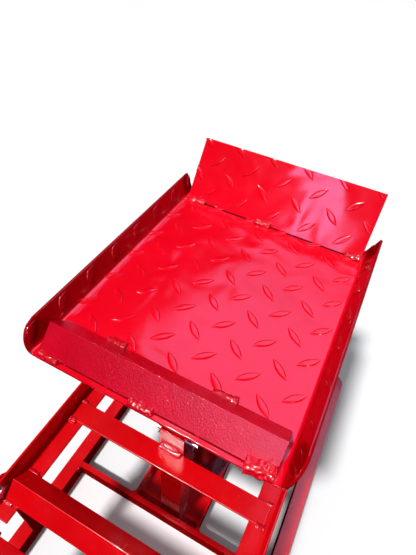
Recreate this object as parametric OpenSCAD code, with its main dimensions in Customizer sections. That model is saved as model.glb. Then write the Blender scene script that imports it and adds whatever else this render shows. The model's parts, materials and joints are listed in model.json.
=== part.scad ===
// Hydraulic drive-on wheel lift: a checker-plate wheel tray on two telescoping
// posts, raised by a bottle jack, over a ladder deck with a fold-up approach ramp.
// +X is the right-hand side, +Y points to the rear, where the stop plate is, and
// +Z is up. The origin is on the ground, under the axis of the jack, whose pump
// is on the left-hand side.

/* [Tray] */
// Width of the flat tray floor between its flanges
tray_w = 300; // [280:5:330]
// Length of the tray floor
tray_l = 383; // [370:1:400]
// Height of the tray floor above the ground, as drawn
tray_z = 560; // [550:5:570]
// Height of the side flanges above the floor
flange_h = 29; // [20:1:35]
// How far each flange leans outwards at its top
flange_lean = 11; // [4:1:14]
// Distance from the tray's centre to the foot of the stop plate
stop_foot = 166.5; // [155:0.5:170]
// Leg of the angle iron used for the wheel stopper
stopper_leg = 36; // [30:1:40]

/* [Lift] */
// Distance from the jack's axis to each post's centre
post_y = 111; // [105:1:120]
// Outside width of the square sleeves
sleeve_w = 40; // [40:1:44]
// Height of the sleeves' open tops
sleeve_top = 388; // [370:1:390]
// Outside width of the sliding inner posts
post_w = 30; // [28:1:31]
// How far the tray sinks from the height drawn
lift_down = 160; // [120:5:160]
// How far the tray rises from the height drawn
lift_up = 40; // [20:5:50]

/* [Deck] */
// Half of the width over the deck rails
deck_half = 172; // [165:1:178]
// Underside of the deck rails
deck_z = 332; // [320:1:335]
// Height of the deck rails' upright leg
rail_h = 38; // [30:1:40]
// Width of the deck rails' level leg
rail_w = 32; // [28:1:36]
// Front end of the deck rails, measured from the origin
deck_front = 316; // [310:1:320]
// Leg of the angle iron used for the rungs
rung_leg = 32; // [28:1:34]

/* [Ramp] */
// Slope of the approach ramp in degrees
ramp_slope = 23; // [20:1:26]
// Spacing of the rungs along the ramp
rung_pitch = 121; // [110:1:124]

/* [Base] */
// Half of the gap between the base rails
base_inner = 211; // [205:1:218]
// Width of the base rails
base_rail_w = 27; // [25:1:32]
// Height of the base rails
base_h = 40; // [35:1:44]
// Rear edge of the base
base_rear = 347; // [320:1:360]
// Front edge of the base
base_front = 430; // [420:1:450]
// Clear width of the jack seat on the pump's side of the jack's axis
seat_left = 76; // [76:1:84]
// Clear width of the jack seat on the other side
seat_right = 61; // [56:1:70]

/* [Jack] */
// Radius of the jack's oil reservoir
reservoir_r = 42; // [40:0.5:42]
// Radius of the ram
ram_r = 16; // [14:0.5:18]
// Height of the jack's top nut, at its upper face
jack_top = 300; // [296:1:304]

/* [Hidden] */

$fn = 48;
red = [0.86, 0.0, 0.06];
dark_red = [0.62, 0.02, 0.05];
zinc = [0.75, 0.77, 0.78];
steel = [0.55, 0.56, 0.58];
eps = 1;                                  // overshoot of a cutting tool
plate_t = 4;                              // plate and angle iron
tube_t = 3;                               // wall of the square tubes
sheet_t = 3;                              // folded base sections
tray_under = tray_z - plate_t;
tray_half_l = tray_l / 2;
flange_corner_r = flange_h - 2;

// stop plate: it leans back by stop_run over stop_rise
stop_half = 146;
stop_run = 57;
stop_rise = 83;

// stopper: stopper_back is from the tray's front edge to the angle's centre line
stopper_half = 142;
stopper_back = 31;
stopper_y = -tray_half_l + stopper_back;

rib_h = 22;
rib_x = 104;
rib_half_l = 150;
cup_outer_r = 31;
cup_inner_r = 26;
cup_h = 16;

post_l = 386;
post_bottom = tray_under - post_l;
pin_z = 346;
pin_r = 3.5;
pin_half = 34;
pin_slack = 0.3;                          // between a stop pin and the slot's side
cotter_r = 1;
cotter_x = pin_half - 5;
cotter_half = 9;

leg_top = deck_z + plate_t;               // upper face of the rails' level legs
rung_half = 161;
rung_w = 32;
rung_skirt = 24;                          // the flat rungs' hanging leg
skirt_half = deck_half - rail_w - 2;
entry_y = -273.5;
deck_rear = 170;
gusset_front = -298;
gusset_w = 40;
gusset_h = 110;
gusset_hole_r = 6;

pivot_y = -290;
pivot_z = 350;
pivot_r = 6;
run_fit = 0.05;                           // radial clearance of a running fit
lug_r = 21;
ramp_gap = 1;                             // between deck rail and ramp rail
ramp_x = deck_half + ramp_gap;
ramp_l = 880;
ramp_leg_start = 46;
ramp_leg_low = -19;                       // the ramp section, about the pivot line
ramp_leg_high = 19;
first_rung = 70;
ramp_rung_half = ramp_x - 3;
toe_plate_l = 44;

seat_t = 4;
seat_bar_y = post_y + sleeve_w / 2 + 5;   // inner face of the bars by the seat
seat_bar_w = 10;
corner_r = 26;                            // outer rear corners of the base
web_r = 10;                               // filleted inner corners of the base

jack_base_h = 30;
jack_floor = seat_t + jack_base_h;
cylinder_r = 28;
bore_r = 20;
bolt_x = -42;                             // bolts that hold the jack to its seat
bolt_y = 40;
bolt_r = 4;
plug_z = 240;                             // oil filler
plug_r = 5;
nut_hex_r = 34;
nut_collar_h = 18;
cylinder_top = 276;
nut_bottom = 270;
piston_z = 200;
piston_h = 22;
ram_top = 470;
screw_r = 11;
screw_bottom = 385;
saddle_h = 18;
saddle_r = 24;
pump_x = 64;
pump_r = 11;
plunger_r = 7;
barrel_top = 88;
gland_top = 96;
lever_x = 50;
lever_z = 122;
lever_pin_r = 3;
lever_half = 7.8;
cheek_t = 3.6;
ear_t = 4;
socket_r = 13;
socket_bore_r = 10;
socket_start = 80;
socket_end = 140;
socket_wall = 4;                          // at the socket's closed end
ear_gap = 0.2;                            // between the lever's cheeks and the ears
pin_reach = 20;                           // cutters for the lever's pin holes
valve_x = 28;
valve_z = 19;
valve_r = 6;
valve_front = -78;
valve_bore_end = -30;
jack_front = -50;

// ---- shared shapes -------------------------------------------------------

// A cylinder along X from x0 to x1, at y and z
module rod_x(r, x0, x1, y = 0, z = 0) {
    translate([x0, y, z]) rotate([0, 90, 0]) cylinder(r = r, h = x1 - x0);
}

// A cylinder along Y from y0 to y1, at x and z
module rod_y(r, y0, y1, x = 0, z = 0) {
    translate([x, y1, z]) rotate([90, 0, 0]) cylinder(r = r, h = y1 - y0);
}

// A profile drawn in Y and Z, drawn out along X from x0 to x1
module along_x(x0, x1) {
    translate([x0, 0, 0]) rotate([90, 0, 90]) linear_extrude(x1 - x0) children();
}

// A profile drawn in X and Z, drawn out along Y from y0 to y1
module along_y(y0, y1) {
    translate([0, y1, 0]) rotate([90, 0, 0]) linear_extrude(y1 - y0) children();
}

// Angle iron with its ridge up, standing on its two edges at height 0
module ridge_profile(leg) {
    rise = (leg - plate_t) / sqrt(2);
    lip = plate_t / sqrt(2);
    half = leg / sqrt(2);
    polygon([[-half, lip], [-rise, 0], [0, rise], [rise, 0], [half, lip],
        [0, half + lip]]);
}

// Square tube standing on the ground plane, w wide, from z0 to z1
module square_tube(w, z0, z1) {
    difference() {
        translate([-w / 2, -w / 2, z0]) cube([w, w, z1 - z0]);
        translate([-w / 2 + tube_t, -w / 2 + tube_t, z0 - eps])
            cube([w - 2 * tube_t, w - 2 * tube_t, z1 - z0 + 2 * eps]);
    }
}

// ---- tray ----------------------------------------------------------------

// Section of the bent plate, its flanges leaning outwards
module pan_profile() {
    half = tray_w / 2;
    top = half + flange_lean;
    polygon([[-half, tray_z], [half, tray_z], [top, tray_z + flange_h],
        [top + plate_t, tray_z + flange_h], [half + plate_t, tray_under],
        [-half - plate_t, tray_under], [-top - plate_t, tray_z + flange_h],
        [-top, tray_z + flange_h]]);
}

// Removes the square front corner outside a flange's quarter round
module flange_corner() {
    r = flange_corner_r;
    top = tray_z + flange_h;
    reach = tray_w / 2 + flange_lean + 2 * plate_t;
    difference() {
        translate([-reach, -tray_half_l - eps, top - r])
            cube([2 * reach, r + eps, r + eps]);
        rod_x(r, -reach - eps, reach + eps, -tray_half_l + r, top - r);
    }
}

module tray_pan() {
    color(red) difference() {
        along_y(-tray_half_l, tray_half_l) pan_profile();
        flange_corner();
    }
}

module stop_plate() {
    foot = plate_t * norm([stop_run, stop_rise]) / stop_rise;
    lean = plate_t / norm([stop_run, stop_rise]);
    top_y = stop_foot + stop_run;
    top_z = tray_z + stop_rise;
    color(red) along_x(-stop_half, stop_half)
        polygon([[stop_foot, tray_z], [stop_foot + foot, tray_z],
            [top_y + lean * stop_rise, top_z - lean * stop_run], [top_y, top_z]]);
}

module wheel_stopper() {
    color(red) along_x(-stopper_half, stopper_half)
        translate([stopper_y, tray_z]) ridge_profile(stopper_leg);
}

// Two flat bars on edge under the floor
module tray_ribs() {
    color(dark_red) for (x = [-rib_x, rib_x])
        translate([x - plate_t / 2, -rib_half_l, tray_under - rib_h])
            cube([plate_t, 2 * rib_half_l, rib_h]);
}

// Ring under the floor that keeps the jack's saddle in its place
module saddle_cup() {
    color(dark_red) translate([0, 0, tray_under - cup_h]) difference() {
        cylinder(r = cup_outer_r, h = cup_h);
        translate([0, 0, -eps]) cylinder(r = cup_inner_r, h = cup_h + 2 * eps);
    }
}

// ---- posts, sleeves and their stop pins ------------------------------------

// Inner post with a long slot that the stop pin runs in
module inner_post(y) {
    slot_r = pin_r + pin_slack;
    slot_low = pin_z - lift_up - eps;
    slot_high = pin_z + lift_down + eps;
    half = post_w / 2 + eps;
    color(red) translate([0, y, 0]) difference() {
        square_tube(post_w, post_bottom, tray_under);
        rod_x(slot_r, -half, half, 0, slot_low);
        rod_x(slot_r, -half, half, 0, slot_high);
        translate([-half, -slot_r, slot_low])
            cube([2 * half, 2 * slot_r, slot_high - slot_low]);
    }
}

module sleeve(y) {
    half = sleeve_w / 2 + eps;
    color(red) translate([0, y, 0]) difference() {
        square_tube(sleeve_w, seat_t, sleeve_top);
        rod_x(pin_r + run_fit, -half, half, 0, pin_z);
    }
}

// Pin with a cross hole near each end for its cotter
module stop_pin(y) {
    color(zinc) translate([0, y, pin_z]) difference() {
        rod_x(pin_r, -pin_half, pin_half);
        for (x = [-cotter_x, cotter_x])
            rod_y(cotter_r + run_fit, -pin_r - eps, pin_r + eps, x);
    }
}

module stop_pin_cotters() {
    color(zinc) for (y = [-post_y, post_y], x = [-cotter_x, cotter_x])
        translate([x, y, pin_z]) rod_y(cotter_r, -cotter_half, cotter_half);
}

module front_post() { inner_post(-post_y); }
module rear_post() { inner_post(post_y); }
module front_sleeve() { sleeve(-post_y); }
module rear_sleeve() { sleeve(post_y); }
module front_stop_pin() { stop_pin(-post_y); }
module rear_stop_pin() { stop_pin(post_y); }

// ---- deck ----------------------------------------------------------------

// Angle iron with its upright leg outside; side is 1 on the right, -1 on the left
module deck_rail(side) {
    color(red) difference() {
        along_y(-deck_front, deck_rear) mirrored_outline(side)
            polygon([[deck_half - rail_w, deck_z], [deck_half, deck_z],
                [deck_half, deck_z + rail_h], [deck_half - plate_t, deck_z + rail_h],
                [deck_half - plate_t, leg_top], [deck_half - rail_w, leg_top]]);
        rod_x(pivot_r + run_fit, -deck_half - eps, deck_half + eps, pivot_y, pivot_z);
    }
}

// Mirrors a right-hand outline for the left-hand side
module mirrored_outline(side) {
    mirror([side < 0 ? 1 : 0, 0]) children();
}

module deck_rail_left() { deck_rail(-1); }
module deck_rail_right() { deck_rail(1); }

// Flat-topped rung against a sleeve, its hanging leg between the rails
module flat_rung() {
    back = -post_y - sleeve_w / 2;
    color(red) {
        translate([-rung_half, back - rung_w, leg_top])
            cube([2 * rung_half, rung_w, plate_t]);
        translate([-skirt_half, back - plate_t, leg_top - rung_skirt])
            cube([2 * skirt_half, plate_t, rung_skirt]);
    }
}

module deck_rung_front() { flat_rung(); }
module deck_rung_rear() { mirror([0, 1, 0]) flat_rung(); }

module deck_rung_entry() {
    color(red) along_x(-rung_half, rung_half)
        translate([entry_y, leg_top]) ridge_profile(rung_leg);
}

// Plate that hangs under a deck rail, drilled for the ramp's stay
module deck_gusset(side) {
    inner = deck_half - rail_w;
    color(red) mirrored_solid(side) difference() {
        translate([inner, gusset_front, deck_z - gusset_h])
            cube([plate_t, gusset_w, gusset_h]);
        rod_x(gusset_hole_r, inner - eps, inner + plate_t + eps,
            gusset_front + gusset_w / 2, deck_z - gusset_h + gusset_w / 2);
    }
}

// Mirrors a right-hand solid for the left-hand side
module mirrored_solid(side) {
    mirror([side < 0 ? 1 : 0, 0, 0]) children();
}

module deck_gusset_left() { deck_gusset(-1); }
module deck_gusset_right() { deck_gusset(1); }

// Bolts that the ramp swings on: head inside the deck rail, nut outside the lug
module ramp_pivot_bolts() {
    head_h = 4;
    head_r = 9;
    lug_out = ramp_x + plate_t;
    color(zinc) for (side = [-1, 1]) mirrored_solid(side) {
        rod_x(pivot_r, deck_half - plate_t, lug_out + 1.5 * head_h, pivot_y, pivot_z);
        rod_x(head_r, deck_half - plate_t - head_h, deck_half - plate_t, pivot_y, pivot_z);
        translate([lug_out + 0.5, pivot_y, pivot_z]) rotate([0, 90, 0])
            cylinder(r = head_r + 1, h = head_h + 2, $fn = 6);
    }
}

// ---- ramp ----------------------------------------------------------------

// Places a shape drawn along -Y from the pivot on the ramp's slope, cut at the ground
module on_ramp() {
    difference() {
        translate([0, pivot_y, pivot_z]) rotate([ramp_slope, 0, 0]) children();
        translate([-ramp_x - 50, pivot_y - ramp_l - 50, -100])
            cube([2 * ramp_x + 100, ramp_l + 50, 100]);
    }
}

module ramp_rail(side) {
    height = ramp_leg_high - ramp_leg_low;
    color(red) on_ramp() mirrored_solid(side) difference() {
        union() {
            translate([ramp_x, -ramp_l, ramp_leg_low]) cube([plate_t, ramp_l, height]);
            rod_x(lug_r, ramp_x, ramp_x + plate_t);
            translate([ramp_x + plate_t - rail_w, -ramp_l, ramp_leg_low])
                cube([rail_w - plate_t, ramp_l - ramp_leg_start, plate_t]);
        }
        rod_x(pivot_r + run_fit, ramp_x - eps, ramp_x + plate_t + eps);
    }
}

module ramp_rail_left() { ramp_rail(-1); }
module ramp_rail_right() { ramp_rail(1); }

module ramp_rung(number) {
    at = first_rung + (number - 1) * rung_pitch;
    color(red) on_ramp() along_x(-ramp_rung_half, ramp_rung_half)
        translate([-at, ramp_leg_low + plate_t]) ridge_profile(rung_leg);
}

// Flat plate across the foot of the ramp
module ramp_toe_plate() {
    half = ramp_x + plate_t - rail_w;
    color(red) on_ramp() translate([-half, -ramp_l, ramp_leg_low])
        cube([2 * half, toe_plate_l, plate_t]);
}

// ---- base ----------------------------------------------------------------

// Outline of a base rail, its outer rear corner rounded
module rail_outline(inset = 0) {
    inner = base_inner + inset;
    outer = base_inner + base_rail_w - inset;
    rear = base_rear - inset;
    r = corner_r - inset;
    translate([inner, -base_front - (inset > 0 ? eps : 0)])
        square([outer - inner, rear - r + base_front + (inset > 0 ? eps : 0)]);
    translate([inner, rear - r - eps]) square([outer - r - inner, r + eps]);
    intersection() {
        translate([outer - r, rear - r]) circle(r);
        translate([inner, rear - r - eps]) square([outer - inner, r + eps]);
    }
}

// Folded rail, open underneath and at its front end
module base_rail(side) {
    color(red) mirrored_solid(side) difference() {
        linear_extrude(base_h) rail_outline();
        translate([0, 0, -eps]) linear_extrude(base_h - sheet_t + eps)
            rail_outline(sheet_t);
    }
}

module base_rail_left() { base_rail(-1); }
module base_rail_right() { base_rail(1); }

// Folded cross bar between the rails, open underneath
module cross_bar(y0, y1) {
    color(red) difference() {
        translate([-base_inner, y0, 0]) cube([2 * base_inner, y1 - y0, base_h]);
        translate([-base_inner - eps, y0 + sheet_t, -eps])
            cube([2 * base_inner + 2 * eps, y1 - y0 - 2 * sheet_t,
                base_h - sheet_t + eps]);
    }
}

module base_rear_bar() { cross_bar(base_rear - base_rail_w, base_rear); }
module base_front_bar() { cross_bar(-base_front, -base_front + base_rail_w); }

// A corner web with its hollow curve towards +x and -y from the corner at 0, 0
module corner_web() {
    translate([0, 0, base_h - sheet_t]) linear_extrude(sheet_t) difference() {
        translate([0, -web_r]) square(web_r);
        translate([web_r, -web_r]) circle(web_r);
    }
}

// Angle section beside the jack seat, with webs into the rails' corners
module seat_bar() {
    outer = -seat_bar_y - seat_bar_w;
    color(red) {
        along_x(-base_inner, base_inner) polygon([[outer, 0], [outer + sheet_t, 0],
            [outer + sheet_t, base_h - sheet_t], [-seat_bar_y, base_h - sheet_t],
            [-seat_bar_y, base_h], [outer, base_h]]);
        for (side = [-1, 1]) mirrored_solid(side)
            translate([-base_inner, outer, 0]) corner_web();
    }
}

module seat_bar_front() { seat_bar(); }
module seat_bar_rear() { mirror([0, 1, 0]) seat_bar(); }

// Channel between the two bars that the jack and both sleeves stand in
module jack_seat() {
    left = -seat_left - seat_t;
    right = seat_right + seat_t;
    color(red) {
        difference() {
            translate([left, -seat_bar_y, 0]) cube([right - left, 2 * seat_bar_y, base_h]);
            translate([-seat_left, -seat_bar_y - eps, seat_t])
                cube([seat_left + seat_right, 2 * seat_bar_y + 2 * eps, base_h]);
        }
        for (end = [0, 1]) mirror([0, end, 0]) {
            translate([right, seat_bar_y, 0]) corner_web();
            translate([left, seat_bar_y, 0]) mirror([1, 0, 0]) corner_web();
        }
    }
}

// ---- jack: fixed pieces ----------------------------------------------------

// Turns the jack's pump, drawn on the +X side, to the left-hand side
module pump_side() {
    mirror([1, 0, 0]) children();
}

module jack_base() {
    r = 14;
    left = -52;
    right = 75;
    color(dark_red) difference() {
        union() {
            translate([left + r, jack_front, seat_t])
                cube([right - left - 2 * r, -2 * jack_front, jack_base_h]);
            translate([left, jack_front + r, seat_t])
                cube([right - left, -2 * jack_front - 2 * r, jack_base_h]);
            for (x = [left + r, right - r], y = [jack_front + r, -jack_front - r])
                translate([x, y, seat_t]) cylinder(r = r, h = jack_base_h);
        }
        rod_y(valve_r + run_fit, jack_front - eps, valve_bore_end, valve_x, valve_z);
        jack_bolt_holes();
    }
}

// Places what it is given at the two bolts that hold the jack to its seat
module at_jack_bolts() {
    for (y = [-bolt_y, bolt_y]) translate([bolt_x, y, 0]) children();
}

module jack_bolt_holes() {
    at_jack_bolts() translate([0, 0, seat_t - eps])
        cylinder(r = bolt_r + run_fit, h = jack_base_h + 2 * eps);
}

module jack_base_bolts() {
    color(zinc) at_jack_bolts() {
        translate([0, 0, seat_t]) cylinder(r = bolt_r, h = jack_base_h + 1);
        translate([0, 0, jack_floor]) cylinder(r = 7.5, h = 5.5, $fn = 6);
    }
}

module jack_cylinder() {
    color(steel) difference() {
        translate([0, 0, jack_floor]) cylinder(r = cylinder_r, h = cylinder_top - jack_floor);
        translate([0, 0, jack_floor - eps])
            cylinder(r = bore_r, h = cylinder_top - jack_floor + 2 * eps);
    }
}

module jack_reservoir() {
    color(red) difference() {
        translate([0, 0, jack_floor]) cylinder(r = reservoir_r, h = nut_bottom - jack_floor);
        translate([0, 0, jack_floor - eps])
            cylinder(r = reservoir_r - plate_t, h = nut_bottom - jack_floor + 2 * eps);
        rod_y(plug_r + run_fit, 0, reservoir_r + eps, 0, plug_z);
    }
}

module jack_filler_plug() {
    color("black") {
        rod_y(plug_r, reservoir_r - plate_t, reservoir_r + 2, 0, plug_z);
        rod_y(plug_r + 3, reservoir_r + 0.5, reservoir_r + 4, 0, plug_z);
    }
}

module jack_top_nut() {
    hex_bottom = nut_bottom + nut_collar_h;
    color(red) difference() {
        union() {
            translate([0, 0, nut_bottom]) cylinder(r = reservoir_r + 2, h = nut_collar_h);
            translate([0, 0, hex_bottom])
                cylinder(r = nut_hex_r, h = jack_top - hex_bottom, $fn = 6);
        }
        translate([0, 0, nut_bottom - eps])
            cylinder(r = ram_r + run_fit, h = jack_top - nut_bottom + 2 * eps);
        translate([0, 0, nut_bottom - eps])
            cylinder(r = cylinder_r + run_fit, h = cylinder_top - nut_bottom + eps);
    }
}

module jack_pump_barrel() {
    color(dark_red) difference() {
        union() {
            translate([pump_x, 0, jack_floor]) cylinder(r = pump_r, h = barrel_top - jack_floor);
            translate([pump_x, 0, barrel_top])
                cylinder(r = pump_r, h = gland_top - barrel_top, $fn = 6);
        }
        translate([pump_x, 0, jack_floor - eps])
            cylinder(r = plunger_r + run_fit, h = gland_top - jack_floor + 2 * eps);
    }
}

// Two ears on the reservoir that carry the pump lever
module jack_lever_bracket() {
    ear_r = 8;
    ear_root = 30;
    inner = lever_half + ear_gap;
    color(dark_red) for (start = [-inner - ear_t, inner]) difference() {
        union() {
            translate([ear_root, start, lever_z - ear_r])
                cube([lever_x - ear_root, ear_t, 2 * ear_r]);
            rod_y(ear_r, start, start + ear_t, lever_x, lever_z);
        }
        translate([0, 0, lever_z - ear_r - eps])
            cylinder(r = reservoir_r, h = 2 * ear_r + 2 * eps);
        rod_y(lever_pin_r, -pin_reach, pin_reach, lever_x, lever_z);
    }
}

module lever_pivot_pin() {
    half = lever_half + ear_gap + ear_t;
    head_h = 3;
    color(zinc) {
        rod_y(lever_pin_r, -half - head_h, half + head_h, lever_x, lever_z);
        rod_y(lever_pin_r + 2.5, half, half + head_h, lever_x, lever_z);
    }
}

// ---- jack: moving pieces ---------------------------------------------------

// Two cheeks on the pivot and the open socket for the pump handle
module pump_lever() {
    cheek_r = 7;
    color(red) difference() {
        union() {
            for (y = [-lever_half, lever_half - cheek_t]) {
                rod_y(cheek_r, y, y + cheek_t, lever_x, lever_z);
                translate([lever_x, y, lever_z - cheek_r])
                    cube([socket_start - lever_x, cheek_t, 2 * cheek_r]);
            }
            rod_x(socket_r, socket_start, socket_end, 0, lever_z);
        }
        rod_x(socket_bore_r, socket_start + socket_wall, socket_end + eps, 0, lever_z);
        rod_y(lever_pin_r + run_fit, -pin_reach, pin_reach, lever_x, lever_z);
        rod_y(lever_pin_r, -pin_reach, pin_reach, pump_x, lever_z);
    }
}

module plunger_pin() {
    color(zinc) rod_y(lever_pin_r, -lever_half, lever_half, pump_x, lever_z);
}

// Plunger with a flat slotted eye, so that its pin can swing on the lever
module pump_plunger() {
    eye_r = 7;
    eye_half = 4;
    foot_z = 50;
    shoulder_z = lever_z - 18;
    eye_top = lever_z + eye_r;
    slot_r = lever_pin_r + 0.4;
    slot_in = 1.4;                        // the slot's reach towards the jack
    slot_out = 0.4;                       // and away from it
    color(zinc) difference() {
        intersection() {
            translate([pump_x, 0, foot_z]) cylinder(r = plunger_r, h = eye_top - foot_z);
            union() {
                translate([pump_x - eye_r - eps, -plunger_r - eps, foot_z - eps])
                    cube([2 * (eye_r + eps), 2 * (plunger_r + eps), shoulder_z - foot_z + eps]);
                translate([pump_x - eye_r - eps, -eye_half, foot_z - eps])
                    cube([2 * (eye_r + eps), 2 * eye_half, eye_top - foot_z + 2 * eps]);
            }
        }
        for (x = [pump_x - slot_in, pump_x + slot_out])
            rod_y(slot_r, -pin_reach, pin_reach, x, lever_z);
        translate([pump_x - slot_in, -pin_reach, lever_z - slot_r])
            cube([slot_in + slot_out, 2 * pin_reach, 2 * slot_r]);
    }
}

// Valve stem with a cross bar to turn it by
module release_valve() {
    bar_y = valve_front + 6;
    bar_half = 14;
    color(zinc) {
        rod_y(valve_r, valve_front, valve_bore_end - 2, valve_x, valve_z);
        for (x = [valve_x - bar_half, valve_x + valve_r - 1])
            rod_x(2.5, x, x + bar_half - valve_r + 1, bar_y, valve_z);
    }
}

module ram() {
    color(zinc) difference() {
        translate([0, 0, piston_z + piston_h])
            cylinder(r = ram_r, h = ram_top - piston_z - piston_h);
        translate([0, 0, screw_bottom]) cylinder(r = screw_r, h = ram_top);
    }
}

module ram_piston() {
    color(steel) translate([0, 0, piston_z]) cylinder(r = bore_r - run_fit, h = piston_h);
}

module extension_screw() {
    color(steel) translate([0, 0, screw_bottom])
        cylinder(r = screw_r, h = tray_under - saddle_h - screw_bottom);
}

module jack_saddle() {
    color(steel) translate([0, 0, tray_under - saddle_h])
        cylinder(r = saddle_r, h = saddle_h);
}

// ---- nodes -----------------------------------------------------------------

tray_pan();
stop_plate();
wheel_stopper();
tray_ribs();
saddle_cup();
front_post();
rear_post();
front_sleeve();
rear_sleeve();
front_stop_pin();
rear_stop_pin();
stop_pin_cotters();
deck_rail_left();
deck_rail_right();
deck_rung_front();
deck_rung_rear();
deck_rung_entry();
deck_gusset_left();
deck_gusset_right();
ramp_pivot_bolts();
ramp_rail_left();
ramp_rail_right();
ramp_rung(1);  // ramp_rung_1
ramp_rung(2);  // ramp_rung_2
ramp_rung(3);  // ramp_rung_3
ramp_rung(4);  // ramp_rung_4
ramp_rung(5);  // ramp_rung_5
ramp_rung(6);  // ramp_rung_6
ramp_rung(7);  // ramp_rung_7
ramp_toe_plate();
base_rail_left();
base_rail_right();
base_rear_bar();
base_front_bar();
seat_bar_front();
seat_bar_rear();
jack_seat();
pump_side() jack_base();
pump_side() jack_base_bolts();
jack_cylinder();
jack_reservoir();
jack_filler_plug();
jack_top_nut();
pump_side() jack_pump_barrel();
pump_side() jack_lever_bracket();
pump_side() lever_pivot_pin();
pump_side() pump_lever();
pump_side() plunger_pin();
pump_side() pump_plunger();
pump_side() release_valve();
ram();
ram_piston();
extension_screw();
jack_saddle();
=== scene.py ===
"""A hydraulic drive-on wheel lift: pressed tread plate, weld beads and gloss red paint
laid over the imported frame."""
import json
import math

import bmesh
import bpy
from mathutils import Matrix, Vector, noise


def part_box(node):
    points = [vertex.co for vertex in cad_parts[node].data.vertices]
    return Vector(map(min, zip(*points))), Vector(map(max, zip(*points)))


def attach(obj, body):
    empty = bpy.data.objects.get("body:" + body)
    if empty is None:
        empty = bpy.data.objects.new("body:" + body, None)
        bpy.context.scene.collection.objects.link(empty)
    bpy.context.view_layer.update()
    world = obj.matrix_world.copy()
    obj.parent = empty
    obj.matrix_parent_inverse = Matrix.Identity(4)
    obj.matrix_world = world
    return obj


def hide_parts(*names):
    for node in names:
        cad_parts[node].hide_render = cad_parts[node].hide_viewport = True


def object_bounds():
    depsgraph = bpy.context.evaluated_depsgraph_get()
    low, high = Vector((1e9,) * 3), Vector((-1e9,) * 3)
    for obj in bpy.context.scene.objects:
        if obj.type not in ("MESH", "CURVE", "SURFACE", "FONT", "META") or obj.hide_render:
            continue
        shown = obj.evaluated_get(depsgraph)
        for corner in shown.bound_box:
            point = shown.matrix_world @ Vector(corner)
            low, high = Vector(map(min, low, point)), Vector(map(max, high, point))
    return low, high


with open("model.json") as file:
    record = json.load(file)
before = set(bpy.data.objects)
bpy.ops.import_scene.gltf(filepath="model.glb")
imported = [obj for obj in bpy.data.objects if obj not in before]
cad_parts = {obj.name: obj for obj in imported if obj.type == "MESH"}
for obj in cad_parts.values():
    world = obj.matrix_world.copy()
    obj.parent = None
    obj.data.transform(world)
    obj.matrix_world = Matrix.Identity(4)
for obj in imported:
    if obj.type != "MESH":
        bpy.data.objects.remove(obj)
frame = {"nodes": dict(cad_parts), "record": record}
CAD_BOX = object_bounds()
NODES = frame["nodes"]

# ---------------------------------------------------------------- sizes, metres
PLATE = 0.004
FLOOR_HALF = 0.150
FLANGE_H = 0.029
FLANGE_LEAN = 0.011
FLANGE_CORNER = 0.027
BEND_R = 0.005
LIP_RISE = math.tan(math.radians(4.5))
TREAD_LONG = 0.0158
TREAD_WIDE = 0.0049
TREAD_HIGH = 0.0014
STOP_RUN = 0.057
STOP_RISE = 0.083

pan_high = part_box("tray_pan")[1]
TRAY_TOP = pan_high.z - FLANGE_H
TRAY_HALF_L = pan_high.y
stop_low, stop_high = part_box("stop_plate")
stopper_low, stopper_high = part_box("wheel_stopper")
rung_low, rung_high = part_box("deck_rung_front")
entry_low, entry_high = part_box("deck_rung_entry")


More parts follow.
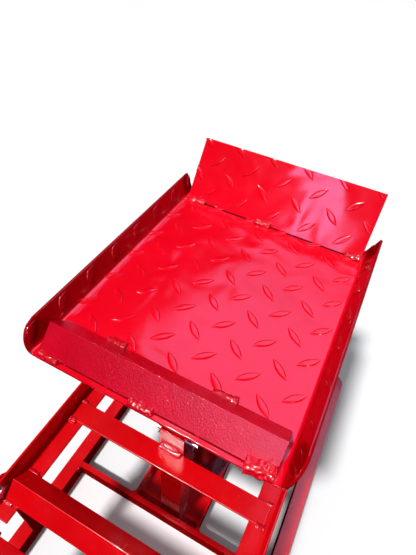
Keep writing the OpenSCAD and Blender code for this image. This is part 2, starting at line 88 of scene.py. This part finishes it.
# ---------------------------------------------------------------- node helpers
class Tree:
    """A material's node tree with short calls for what the finishes need."""

    def __init__(self, name):
        self.material = bpy.data.materials.new(name)
        self.material.use_nodes = True
        self.tree = self.material.node_tree
        self.shader = self.tree.nodes["Principled BSDF"]
        self.place = self.add("ShaderNodeTexCoord").outputs["Object"]

    def add(self, kind, **values):
        node = self.tree.nodes.new(kind)
        for key, value in values.items():
            setattr(node, key, value)
        return node

    def link(self, out, into):
        self.tree.links.new(out, into)

    def noise(self, scale, detail=2.0, roughness=0.5, distortion=0.0):
        node = self.add("ShaderNodeTexNoise")
        self.link(self.place, node.inputs["Vector"])
        node.inputs["Scale"].default_value = scale
        node.inputs["Detail"].default_value = detail
        node.inputs["Roughness"].default_value = roughness
        node.inputs["Distortion"].default_value = distortion
        return node.outputs["Fac"]

    def spots(self, scale, randomness=1.0):
        node = self.add("ShaderNodeTexVoronoi")
        self.link(self.place, node.inputs["Vector"])
        node.inputs["Scale"].default_value = scale
        node.inputs["Randomness"].default_value = randomness
        return node.outputs["Distance"]

    def remap(self, out, low, high, to_low, to_high):
        node = self.add("ShaderNodeMapRange")
        self.link(out, node.inputs["Value"])
        for key, value in (("From Min", low), ("From Max", high),
                           ("To Min", to_low), ("To Max", to_high)):
            node.inputs[key].default_value = value
        return node.outputs["Result"]

    def ramp(self, out, stops):
        node = self.add("ShaderNodeValToRGB")
        self.link(out, node.inputs["Fac"])
        ramp = node.color_ramp
        while len(ramp.elements) < len(stops):
            ramp.elements.new(0.5)
        for element, (at, colour) in zip(ramp.elements, stops):
            element.position = at
            element.color = (*colour, 1.0)
        return node.outputs["Color"]

    def beyond(self, colour, distance, other):
        """Turns a colour into another one farther than a distance from the middle."""
        split = self.add("ShaderNodeSeparateXYZ")
        self.link(self.place, split.inputs[0])
        size = self.add("ShaderNodeMath", operation="ABSOLUTE")
        self.link(split.outputs["X"], size.inputs[0])
        mix = self.add("ShaderNodeMix", data_type="RGBA")
        self.link(self.remap(size.outputs[0], distance, distance + 0.002, 0.0, 1.0),
                  mix.inputs["Factor"])
        self.link(colour, mix.inputs["A"])
        mix.inputs["B"].default_value = (*other, 1.0)
        return mix.outputs["Result"]

    def bump(self, layers):
        """Stacks (height output, strength, distance) layers into the normal."""
        normal = None
        for height, strength, distance in layers:
            node = self.add("ShaderNodeBump")
            node.inputs["Strength"].default_value = strength
            node.inputs["Distance"].default_value = distance
            self.link(height, node.inputs["Height"])
            if normal:
                self.link(normal, node.inputs["Normal"])
            normal = node.outputs["Normal"]
        self.link(normal, self.shader.inputs["Normal"])
        if "Coat Normal" in self.shader.inputs:
            self.link(normal, self.shader.inputs["Coat Normal"])

    def set(self, **values):
        for key, value in values.items():
            self.shader.inputs[key.replace("_", " ")].default_value = value


def paint(name, light, deep, rough, peel, peel_scale, coat=0.6, wave=0.0, swell=None,
          flange_shade=None, gloss=0.05):
    """Sprayed gloss paint: two reds that drift into each other, orange peel, a few
    pimples, and the slow waves of a hot-rolled sheet. Swell is the strength of the
    wider bumps, and gloss is how rough the clear coat is. The flange shade is (distance
    from the middle, red): a darker red beyond that distance, painted shade on the flanges."""
    tree = Tree(name)
    drift = tree.noise(9.0, 3.0, 0.6)
    colour = tree.ramp(drift, [(0.32, deep), (0.68, light)])
    if flange_shade:
        colour = tree.beyond(colour, *flange_shade)
    tree.link(colour, tree.shader.inputs["Base Color"])
    tree.link(tree.remap(tree.noise(40.0, 3.0), 0.3, 0.7, rough * 0.8, rough * 1.3),
              tree.shader.inputs["Roughness"])
    layers = [(tree.noise(peel_scale, 2.0, 0.6), peel, 0.0005),
              (tree.noise(26.0, 2.0), peel * 0.5 if swell is None else swell, 0.002),
              (tree.remap(tree.spots(150.0), 0.0, 0.10, 1.0, 0.0), 0.12, 0.0006)]
    if wave:
        layers.append((tree.noise(16.0, 1.0, 0.4, 0.6), wave, 0.007))
    tree.bump(layers)
    tree.set(Coat_Weight=coat, Coat_Roughness=gloss, Coat_IOR=1.5)
    return tree.material


def painted_gap_shade(name):
    """Near-black paint for thin strips: painted shade along the feet of the stopper and the stop
    plate.
    """
    tree = Tree(name)
    tree.link(tree.ramp(tree.noise(90.0), [(0.3, (0.002, 0.0015, 0.0015)),
                                           (0.7, (0.008, 0.004, 0.004))]),
              tree.shader.inputs["Base Color"])
    tree.bump([(tree.noise(400.0), 0.3, 0.0003)])
    tree.set(Roughness=0.9, Specular_IOR_Level=0.1)
    return tree.material


def metal(name, light, dark, rough, scale, peel=0.15):
    """Bare or plated steel, mottled between two greys."""
    tree = Tree(name)
    mottle = tree.noise(scale, 4.0, 0.65)
    tree.link(tree.ramp(mottle, [(0.3, dark), (0.7, light)]),
              tree.shader.inputs["Base Color"])
    tree.link(tree.remap(tree.noise(scale * 3.0, 3.0), 0.3, 0.7, rough * 0.7, rough * 1.4),
              tree.shader.inputs["Roughness"])
    tree.bump([(tree.noise(scale * 6.0, 2.0), peel, 0.0003)])
    tree.set(Metallic=1.0)
    return tree.material


def rubber(name):
    """The filler plug's dull black rubber."""
    tree = Tree(name)
    tree.link(tree.ramp(tree.noise(60.0), [(0.3, (0.012, 0.012, 0.012)),
                                           (0.7, (0.035, 0.034, 0.033))]),
              tree.shader.inputs["Base Color"])
    tree.link(tree.remap(tree.noise(200.0), 0.3, 0.7, 0.45, 0.7),
              tree.shader.inputs["Roughness"])
    tree.bump([(tree.noise(900.0), 0.3, 0.0002)])
    return tree.material


FRAME_PAINT = paint("frame_paint", (0.80, 0.0006, 0.004), (0.66, 0.0004, 0.003),
                    rough=0.22, peel=0.12, peel_scale=500.0, coat=0.7, wave=0.10)
# Beyond the floor's edge the tray's red is darkened: painted shade on the flanges.
TRAY_PAINT = paint("tray_paint", (0.95, 0.0006, 0.016), (0.86, 0.0005, 0.011),
                   rough=0.14, peel=0.07, peel_scale=420.0, coat=1.0, wave=0.36,
                   flange_shade=(0.149, (0.44, 0.0004, 0.003)))
PEEL_PAINT = paint("stopper_paint", (0.78, 0.001, 0.022), (0.54, 0.0008, 0.014),
                   rough=0.16, peel=0.85, peel_scale=560.0, coat=1.0, swell=0.06,
                   gloss=0.12)
WELD_PAINT = paint("weld_paint", (0.86, 0.001, 0.014), (0.52, 0.0008, 0.006),
                   rough=0.05, peel=0.80, peel_scale=260.0, coat=1.0, swell=0.4,
                   gloss=0.26)
# The jack's red is a much darker copy of the frame's red: painted shade for the jack standing under
# the deck.
SHADED_JACK_PAINT = paint("shaded_jack_paint", (0.30, 0.0008, 0.004), (0.20, 0.0006, 0.003),
                   rough=0.28, peel=0.15, peel_scale=600.0)
# Near-black paint for the painted shade strips at the feet.
GAP_SHADE = painted_gap_shade("gap_shade_paint")
ZINC = metal("zinc_plate", (0.78, 0.80, 0.82), (0.58, 0.61, 0.64), rough=0.28, scale=60.0)
STEEL = metal("machined_steel", (0.50, 0.50, 0.50), (0.30, 0.30, 0.31), rough=0.35,
              scale=90.0)
CHROME = metal("chrome_rod", (0.86, 0.87, 0.88), (0.78, 0.79, 0.81), rough=0.08,
               scale=30.0, peel=0.03)
BLACK = rubber("black_plug")

SLOT_FINISH = {"tray_red": TRAY_PAINT, "frame_red": FRAME_PAINT, "jack_red": SHADED_JACK_PAINT,
               "zinc_plate": ZINC, "machined_steel": STEEL, "chrome_rod": CHROME,
               "black_plug": BLACK}


# ---------------------------------------------------------------- piece helpers
def piece(name, bm, material, body, smooth_angle=35.0):
    """Turns a bmesh into a finished piece that rides on a body."""
    bmesh.ops.remove_doubles(bm, verts=bm.verts, dist=1e-6)
    bmesh.ops.recalc_face_normals(bm, faces=bm.faces)
    mesh = bpy.data.meshes.new(name)
    bm.to_mesh(mesh)
    bm.free()
    mesh.materials.append(material)
    mesh.polygons.foreach_set("use_smooth", [True] * len(mesh.polygons))
    mesh.set_sharp_from_angle(angle=math.radians(smooth_angle))
    obj = bpy.data.objects.new(name, mesh)
    bpy.context.scene.collection.objects.link(obj)
    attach(obj, body)
    return obj


def soften(obj, width, segments=2):
    """Rounds an object's hard edges a little, as rolling and paint do."""
    weld = obj.modifiers.new("merge", "WELD")
    weld.merge_threshold = 1e-5
    bevel = obj.modifiers.new("edges", "BEVEL")
    bevel.width = width
    bevel.segments = segments
    bevel.limit_method = "ANGLE"
    bevel.angle_limit = math.radians(40)
    bevel.use_clamp_overlap = True
    flat = obj.modifiers.new("flats", "WEIGHTED_NORMAL")
    flat.weight = 100


def turned(bm, profile, centre, steps=48):
    """Spins (radius, height) points round a vertical axis into a closed solid."""
    verts = [bm.verts.new((centre[0] + r, centre[1], z)) for r, z in profile]
    edges = [bm.edges.new(pair) for pair in zip(verts, verts[1:])]
    bmesh.ops.spin(bm, geom=verts + edges, cent=centre, axis=(0, 0, 1),
                   angle=math.tau, steps=steps, use_merge=True, use_duplicate=False)


# ---------------------------------------------------------------- camera, lights
def set_camera():
    """Stands in front of the deck's right side, tipped down on the tray."""
    data = bpy.data.cameras.new("camera")
    data.sensor_fit = "AUTO"
    data.sensor_width = 36.0
    data.lens = 27.25
    camera = bpy.data.objects.new("camera", data)
    right = Vector((0.88845392, 0.45324944, 0.07221207))
    down = Vector((0.36971535, -0.61354299, -0.69776469))
    ahead = Vector((-0.27195624, 0.64662968, -0.71267794))
    turn = Matrix((right, -down, -ahead)).transposed()
    place = Vector((0.124, TRAY_HALF_L * -1 - 0.1623, TRAY_TOP + 0.409))
    camera.matrix_world = Matrix.Translation(place) @ turn.to_4x4()
    bpy.context.scene.collection.objects.link(camera)
    bpy.context.scene.camera = camera


def glow(name, centre, size, tilt, colour, strength, fade):
    """A soft box seen only as a reflection: its four edges fade out over the
    shares of its size in fade, in the order -x, +x, -y, +y."""
    bm = bmesh.new()
    bmesh.ops.create_grid(bm, x_segments=1, y_segments=1, size=0.5)
    mesh = bpy.data.meshes.new(name)
    bm.to_mesh(mesh)
    bm.free()
    box = bpy.data.objects.new(name, mesh)
    box.location = centre
    box.rotation_euler = [math.radians(angle) for angle in tilt]
    box.scale = (*size, 1.0)
    bpy.context.scene.collection.objects.link(box)
    tree = Tree(name + "_light")
    split = tree.add("ShaderNodeSeparateXYZ")
    tree.link(tree.place, split.inputs[0])
    power = None
    for number, edge in enumerate(fade):
        side = -0.5 if number % 2 == 0 else 0.5
        mask = tree.add("ShaderNodeMapRange", interpolation_type="SMOOTHSTEP")
        tree.link(split.outputs["X" if number < 2 else "Y"], mask.inputs["Value"])
        inner = side - math.copysign(edge, side)
        mask.inputs["From Min"].default_value = side
        mask.inputs["From Max"].default_value = inner
        mask.inputs["To Min"].default_value = 0.0
        mask.inputs["To Max"].default_value = strength if number == 0 else 1.0
        if power is None:
            power = mask.outputs["Result"]
            continue
        both = tree.add("ShaderNodeMath", operation="MULTIPLY")
        tree.link(power, both.inputs[0])
        tree.link(mask.outputs["Result"], both.inputs[1])
        power = both.outputs[0]
    light = tree.add("ShaderNodeEmission")
    light.inputs["Color"].default_value = (*colour, 1.0)
    tree.link(power, light.inputs["Strength"])
    tree.link(light.outputs[0], tree.tree.nodes["Material Output"].inputs["Surface"])
    tree.tree.nodes.remove(tree.shader)
    mesh.materials.append(tree.material)
    box.visible_camera = False
    box.visible_shadow = False
    box.visible_diffuse = False


def set_air():
    """Soft light from a dome that is brighter overhead and dark below."""
    world = bpy.data.worlds.new("studio")
    bpy.context.scene.world = world
    world.use_nodes = True
    nodes = world.node_tree.nodes
    links = world.node_tree.links
    place = nodes.new("ShaderNodeTexCoord")
    split = nodes.new("ShaderNodeSeparateXYZ")
    links.new(place.outputs["Generated"], split.inputs[0])
    dome = nodes.new("ShaderNodeMapRange")
    links.new(split.outputs["Z"], dome.inputs["Value"])
    dome.inputs["From Min"].default_value = -0.15
    dome.inputs["From Max"].default_value = 0.9
    dome.inputs["To Min"].default_value = 0.03
    dome.inputs["To Max"].default_value = 0.34
    links.new(dome.outputs["Result"], nodes["Background"].inputs["Strength"])
    nodes["Background"].inputs["Color"].default_value = (0.92, 0.95, 1.0, 1)
    world.cycles_visibility.glossy = False


def set_lights():
    """One soft sun, and four panels that the gloss paint mirrors."""
    scene = bpy.context.scene
    scene.view_settings.view_transform = "Standard"
    sun = bpy.data.lights.new("key", "SUN")
    sun.energy = 3.05
    sun.angle = math.radians(5)
    lamp = bpy.data.objects.new("key", sun)
    lamp.rotation_euler = Vector((0.16, 0.45, -0.88)).to_track_quat("-Z", "Y").to_euler()
    scene.collection.objects.link(lamp)
    blue = (0.42, 0.47, 1.0)
    pale_blue = (0.60, 0.62, 1.0)
    rose = (1.0, 0.40, 0.56)
    glow("sky_box", centre=(1.10, 2.90, 3.56), size=(4.8, 4.0), tilt=(0, 0, -10),
         colour=blue, strength=1.5, fade=(0.10, 0.1, 0.06, 0.75))
    glow("front_box", centre=(-0.36, -3.3, 3.25), size=(0.80, 1.9), tilt=(60, 0, 0),
         colour=blue, strength=4.4, fade=(0.25, 0.4, 0.3, 0.3))
    glow("low_box", centre=(0.45, -3.6, 2.20), size=(2.1, 0.7), tilt=(65, 0, 0),
         colour=pale_blue, strength=7.0, fade=(0.50, 0.05, 0.3, 0.3))
    glow("warm_box", centre=(1.00, 1.75, 3.50), size=(1.0, 2.5), tilt=(0, 0, 0),
         colour=rose, strength=3.4, fade=(0.10, 0.1, 0.06, 0.1))


def set_floor():
    """A plain pale studio floor."""
    bm = bmesh.new()
    bmesh.ops.create_grid(bm, x_segments=1, y_segments=1, size=8.0)
    mesh = bpy.data.meshes.new("floor")
    bm.to_mesh(mesh)
    bm.free()
    floor = bpy.data.objects.new("floor", mesh)
    floor.location.z = CAD_BOX[0].z - 0.0005
    bpy.context.scene.collection.objects.link(floor)
    tree = Tree("pale_floor")
    tree.link(tree.ramp(tree.noise(3.0), [(0.3, (0.93, 0.93, 0.93)),
                                          (0.7, (0.96, 0.96, 0.96))]),
              tree.shader.inputs["Base Color"])
    tree.set(Roughness=0.9)
    mesh.materials.append(tree.material)
    floor.visible_glossy = False
    floor.visible_diffuse = False


# ---------------------------------------------------------------- pressed tray
FLANGE_ANGLE = math.atan2(FLANGE_H, FLANGE_LEAN)
BEND_START = FLOOR_HALF - BEND_R * math.tan(FLANGE_ANGLE / 2)
FLANGE_REACH = math.hypot(FLANGE_H, FLANGE_LEAN) - BEND_R * math.tan(FLANGE_ANGLE / 2)
SHEET_HALF = BEND_START + BEND_R * FLANGE_ANGLE + FLANGE_REACH


def on_pan(across, along, lift):
    """A point of the flat sheet, lifted off it, on the bent tray."""
    side = math.copysign(1.0, across)
    over = abs(across) - BEND_START
    if over <= 0:
        return Vector((across, along, TRAY_TOP + lift))
    turn = min(over / BEND_R, FLANGE_ANGLE)
    rest = max(over - BEND_R * FLANGE_ANGLE, 0.0)
    inner = BEND_R - lift
    x = BEND_START + inner * math.sin(turn) + rest * math.cos(turn)
    z = TRAY_TOP + BEND_R - inner * math.cos(turn) + rest * math.sin(turn)
    return Vector((side * x, along, z))


def flange_front(height):
    """Where a flange starts along the tray, its front corner a quarter round."""
    r = FLANGE_CORNER
    rise = min(max(height - (FLANGE_H - r), 0.0), r)
    return -TRAY_HALF_L + r - math.sqrt(r * r - rise * rise)


def make_tray():
    """The bent checker sheet. Its front lip is turned up a hair by the shear."""
    bm = bmesh.new()
    bmesh.ops.create_grid(bm, x_segments=120, y_segments=90, size=1.0)
    for vert in bm.verts:
        point = on_pan(vert.co.x * SHEET_HALF, 0.0, 0.0)
        front = flange_front(point.z - TRAY_TOP)
        part = (vert.co.y + 1) / 2
        along = front + part * (TRAY_HALF_L - front)
        flat = min(max((BEND_START - abs(point.x)) / 0.01, 0.0), 1.0)
        rise = max(stopper_low.y - along, 0.0) * LIP_RISE * flat
        vert.co = (point.x, along, point.z + rise)
    bmesh.ops.recalc_face_normals(bm, faces=bm.faces)
    if sum(f.normal.z for f in bm.faces) < 0:
        bmesh.ops.reverse_faces(bm, faces=bm.faces)
    bmesh.ops.solidify(bm, geom=bm.faces[:], thickness=PLATE)
    tray = piece("tray_plate", bm, TRAY_PAINT, "lift_tray")
    soften(tray, 0.0007)
    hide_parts("tray_pan")


def tread(bm, centre, angle, place, across_max, along_low, along_high):
    """One pressed lens of tread plate, squared off where the sheet is cut."""
    made = bmesh.ops.create_circle(bm, cap_ends=True, segments=20, radius=1.0)
    face = made["verts"][0].link_faces[0]
    for vert in made["verts"]:
        along = vert.co.x
        vert.co = Vector((along * TREAD_LONG,
                          math.copysign(TREAD_WIDE * (1 - along * along), vert.co.y), 0))
    rings = list(made["verts"])
    for shrink, height in ((0.84, 0.92), (0.60, 1.0)):
        grown = bmesh.ops.extrude_face_region(bm, geom=[face])["geom"]
        bmesh.ops.delete(bm, geom=[face], context="FACES_ONLY")
        face = next(g for g in grown if isinstance(g, bmesh.types.BMFace))
        ring = [g for g in grown if isinstance(g, bmesh.types.BMVert)]
        base = max(v.co.x for v in ring)
        for vert in ring:
            vert.co.x *= (base - (1 - shrink) * TREAD_WIDE * 1.2) / base
            vert.co.y *= shrink
            vert.co.z = TREAD_HIGH * height
        rings += ring
    rings += bmesh.ops.poke(bm, faces=[face])["verts"]
    turn = Matrix.Rotation(angle, 3, "Z")
    for vert in rings:
        flat = turn @ vert.co + Vector((*centre, 0))
        across = min(max(flat.x, -across_max), across_max)
        along = min(max(flat.y, along_low), along_high)
        vert.co = place(across, along, flat.z)


def tread_rows(bm, start, pitch, angle, place, across_max, along_low, along_high):
    """Fills a sheet with treads of one slant on a square lattice."""
    for i in range(-5, 6):
        for j in range(-6, 7):
            across, along = start[0] + i * pitch[0], start[1] + j * pitch[1]
            if abs(across) > across_max + TREAD_LONG * 0.55:
                continue
            if not along_low - TREAD_LONG * 0.55 < along < along_high + TREAD_LONG * 0.55:
                continue
            tread(bm, (across, along), angle, place, across_max, along_low, along_high)


def make_treads():
    """The lenses of the tray and of the stop plate, in two opposed slants."""
    slant = math.radians(42)
    bm = bmesh.new()
    for start, angle in (((-0.0057, 0.0857), math.pi - slant), ((0.0215, 0.1112), slant)):
        tread_rows(bm, start, (0.0553, 0.0523), angle, on_pan, SHEET_HALF - 0.004,
                   -TRAY_HALF_L + 0.0004, TRAY_HALF_L - 0.0004)
    for vert in bm.verts:
        height = vert.co.z - TRAY_TOP
        vert.co.y = max(vert.co.y, flange_front(height) + 0.0006)
    piece("tray_treads", bm, TRAY_PAINT, "lift_tray", 60.0)

    foot = Vector((0, stop_low.y, stop_low.z))
    slope = Vector((0, STOP_RUN, STOP_RISE))
    run = slope.normalized()
    out = Vector((0, -run.z, run.y))
    length = slope.length

    def on_stop(across, along, lift):
        return foot + Vector((across, 0, 0)) + run * along + out * lift

    bm = bmesh.new()
    for start, angle in (((-0.0025, 0.0183), slant), ((-0.0290, 0.0453), math.pi - slant)):
        tread_rows(bm, start, (0.0562, 0.0525), angle, on_stop, stop_high.x - 0.0004,
                   0.0006, length - 0.0006)
    piece("stop_plate_treads", bm, TRAY_PAINT, "lift_tray", 60.0)


# ---------------------------------------------------------------- weld beads
def bead(bm, start, end, radius, seed, lumps=1.0, detail=4, flat=0.7):
    """A lumpy weld bead from start to end, its ripples left by each stop of the torch."""
    start, end = Vector(start), Vector(end)
    length = (end - start).length
    made = bmesh.ops.create_icosphere(bm, subdivisions=detail, radius=1.0)
    direction = (end - start).normalized()
    turn = direction.to_track_quat("X", "Z").to_matrix()
    middle = (start + end) / 2
    ripple = max(int(length / (radius * 1.1)), 1)
    for vert in made["verts"]:
        unit = vert.co.copy()
        along = unit.x * (length / 2 + radius * 0.6)
        around = Vector((0, unit.y, unit.z * flat)) * radius
        around *= 1.0 / max(math.hypot(unit.y, unit.z), 0.35) if abs(unit.x) < 0.93 else 1.0
        wave = 1 + 0.10 * lumps * math.sin(math.pi * ripple * unit.x * 2 + seed)
        wave += 0.30 * lumps * noise.noise(unit * 1.8 + Vector((seed, 0, 0)))
        wave += 0.14 * lumps * noise.noise(unit * 5.5 + Vector((0, seed, 0)))
        vert.co = middle + turn @ (Vector((along, 0, 0)) + around * wave)


def beads(name, body, rows, lumps=1.0, detail=4):
    """Joins (start, end, radius) beads into one piece."""
    bm = bmesh.new()
    for number, (start, end, radius) in enumerate(rows):
        bead(bm, start, end, radius, number * 1.7 + len(name), lumps, detail)
    return piece(name, bm, WELD_PAINT, body, 80.0)


def shade_strip(bm, x_low, x_high, y_low, y_high, z):
    """A very thin dark strip beside a foot, between two welds: painted shade, drawn as a flat box.
    """
    made = bmesh.ops.create_cube(bm, size=1.0)
    for vert in made["verts"]:
        vert.co = Vector((x_low if vert.co.x < 0 else x_high,
                          y_low if vert.co.y < 0 else y_high,
                          z + (0.0003 if vert.co.z > 0 else -0.0003)))


def make_tray_welds():
    """Short beads hold the stopper and the stop plate; between them thin near-black strips are
    painted shade along the feet.
    """
    front = stopper_low.y + 0.0005
    rear = stopper_high.y - 0.0005
    floor = TRAY_TOP + 0.0015
    foot = stop_low.y - 0.0015
    stopper = [((-0.139, front, floor), (-0.115, front - 0.001, floor), 0.0048),
               ((-0.018, front, floor), (0.006, front - 0.001, floor), 0.0062),
               ((0.116, front - 0.001, floor + 0.001),
                (0.136, front + 0.001, floor + 0.003), 0.0095),
               ((0.124, front + 0.002, floor + 0.005),
                (0.139, front + 0.003, floor + 0.006), 0.0060),
               ((-0.084, rear, floor), (-0.064, rear + 0.002, floor), 0.0055),
               ((0.053, rear, floor), (0.078, rear + 0.002, floor), 0.0055)]
    stop = [((-0.137, foot, floor), (-0.115, foot, floor + 0.001), 0.0050),
            ((-0.022, foot, floor), (0.000, foot, floor + 0.001), 0.0052),
            ((0.124, foot, floor), (0.142, foot, floor + 0.001), 0.0055)]
    beads("tray_welds", "lift_tray", stopper + stop)
    # Painted shade: near-black strips on the tray along the stop plate's foot and the stopper's
    # front foot.
    bm = bmesh.new()
    for start, end in ((-0.113, -0.024), (0.002, 0.122)):
        shade_strip(bm, start, end, foot - 0.0006, foot + 0.0016, TRAY_TOP + 0.0003)
    for start, end in ((-0.112, -0.021), (0.009, 0.113)):
        shade_strip(bm, start, end, front - 0.0003, front + 0.0025, TRAY_TOP + 0.0003)
    piece("painted_gap_strips", bm, GAP_SHADE, "lift_tray")
    under = TRAY_TOP - PLATE - 0.001
    rows = []
    for node in ("front_post", "rear_post"):
        low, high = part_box(node)
        for y in (low.y, high.y):
            rows.append(((low.x + 0.003, y, under), (high.x - 0.003, y, under), 0.003))
    beads("post_welds", "lift_tray", rows, detail=3)


def make_frame_welds():
    """Beads at the deck's rungs and sleeves, then at the base's corners and bars."""
    top = rung_high.z
    high, low_z = top - 0.002, entry_low.z + 0.001
    back = rung_high.y
    rows = [((-0.017, back - 0.002, top + 0.002), (0.016, back - 0.002, top + 0.002), 0.0052),
            ((-0.012, back, top + 0.007), (0.010, back, top + 0.006), 0.0042)]
    for side in (-1, 1):
        end = side * rung_high.x
        rows += [((end * 0.95, rung_low.y, high), (end * 0.995, rung_low.y, high), 0.0048),
                 ((end * 0.97, back, top - 0.001), (end, back, top - 0.001), 0.0030),
                 ((end, entry_low.y, low_z), (end * 0.93, entry_low.y, low_z), 0.0032),
                 ((end, entry_high.y, low_z), (end * 0.91, entry_high.y, low_z), 0.0032)]
    back_low, back_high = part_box("deck_rung_rear")
    rear = back_low.y + 0.002
    rows += [((-0.016, rear, top + 0.002), (0.016, rear, top + 0.002), 0.005)]
    for side in (-1, 1):
        end = side * back_high.x
        rows += [((end * 0.95, back_high.y, high), (end, back_high.y, high), 0.0042)]
    for node in ("front_sleeve", "rear_sleeve"):
        low, high_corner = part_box(node)
        foot = low.z + 0.001
        for y in (low.y, high_corner.y):
            rows.append(((low.x + 0.003, y, foot), (high_corner.x - 0.003, y, foot), 0.0042))
        for x in (low.x, high_corner.x):
            rows.append(((x, low.y + 0.003, foot), (x, high_corner.y - 0.003, foot), 0.0036))
    beads("deck_welds", "base_frame", rows)
    rows = []
    for node in ("seat_bar_front", "seat_bar_rear", "base_front_bar", "base_rear_bar"):
        low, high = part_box(node)
        for x in (low.x, high.x):
            edge = x - math.copysign(0.001, x)
            rows.append(((edge, low.y + 0.002, high.z), (edge, high.y - 0.002, high.z), 0.0022))
            rows.append(((edge, low.y, low.z + 0.006), (edge, low.y, high.z - 0.002), 0.0022))
    beads("base_welds", "base_frame", rows, lumps=0.7, detail=3)


def make_ramp_welds():
    """A bead at each end of every ramp rung."""
    rows = []
    for number in range(1, 8):
        low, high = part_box(f"ramp_rung_{number}")
        for side in (-1, 1):
            outer = side * (high.x - 0.002)
            inner = side * (high.x - 0.032)
            rows.append(((inner, low.y + 0.001, low.z + 0.0015),
                         (outer, low.y + 0.001, low.z + 0.0015), 0.0028))
    beads("ramp_welds", "approach_ramp", rows, detail=3)


# ---------------------------------------------------------------- jack details
def make_screw():
    """The extension screw: a core with a rolled thread wound round it."""
    low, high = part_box("extension_screw")
    centre = (low + high) / 2
    radius = high.x - centre.x
    pitch, depth = 0.003, 0.0013
    bm = bmesh.new()
    turned(bm, [(0.0, low.z), (radius - depth - 0.001, low.z), (radius - depth, low.z + 0.001),
                (radius - depth, high.z), (0.0, high.z)], (centre.x, centre.y, 0.0), 40)
    turns = int((high.z - low.z) / pitch) - 3
    steps = 24
    start = low.z + 0.0025
    ridge = [bm.verts.new((centre.x + r, centre.y, start + z))
             for r, z in ((radius - depth - 0.0003, -0.0013), (radius, -0.0004),
                          (radius, 0.0004), (radius - depth - 0.0003, 0.0013))]
    face = bm.faces.new(ridge)
    bmesh.ops.spin(bm, geom=[face], cent=(centre.x, centre.y, 0.0), axis=(0, 0, 1),
                   dvec=(0, 0, pitch / steps), angle=math.tau * turns,
                   steps=steps * turns, use_duplicate=False)
    screw = piece("extension_thread", bm, STEEL, "jack_ram", 30.0)
    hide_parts("extension_screw")


def make_saddle():
    """The jack's head: a cupped disc on a short neck."""
    low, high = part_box("jack_saddle")
    radius = high.x
    bm = bmesh.new()
    turned(bm, [(0.0, low.z), (0.013, low.z), (0.014, low.z + 0.001), (0.0145, low.z + 0.006),
                (radius - 0.001, low.z + 0.009), (radius, low.z + 0.010), (radius, high.z - 0.001),
                (radius - 0.001, high.z), (radius - 0.004, high.z), (radius - 0.007, high.z - 0.003),
                (0.0, high.z - 0.003)], (0.0, 0.0, 0.0), 48)
    saddle = piece("saddle_head", bm, STEEL, "jack_ram")
    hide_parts("jack_saddle")


# ---------------------------------------------------------------- CAD finishes
EDGE_WIDTH = {"frame_red": 0.0013, "tray_red": 0.0012, "jack_red": 0.0010,
              "zinc_plate": 0.0004, "machined_steel": 0.0005, "chrome_rod": 0.0005,
              "black_plug": 0.0004}


def finish_nodes():
    """Paints and softens every node of the frame."""
    slots = {row["node"]: row["material_slot"] for row in frame["record"]["subparts"]}
    for name, obj in NODES.items():
        slot = slots[name]
        material = PEEL_PAINT if name == "wheel_stopper" else SLOT_FINISH[slot]
        obj.data.materials.clear()
        obj.data.materials.append(material)
        obj.data.polygons.foreach_set("material_index", [0] * len(obj.data.polygons))
        soften(obj, EDGE_WIDTH[slot])


set_camera()
set_air()
set_lights()
set_floor()
finish_nodes()
make_tray()
make_treads()
make_tray_welds()
make_frame_welds()
make_ramp_welds()
make_screw()
make_saddle()

bpy.context.view_layer.update()
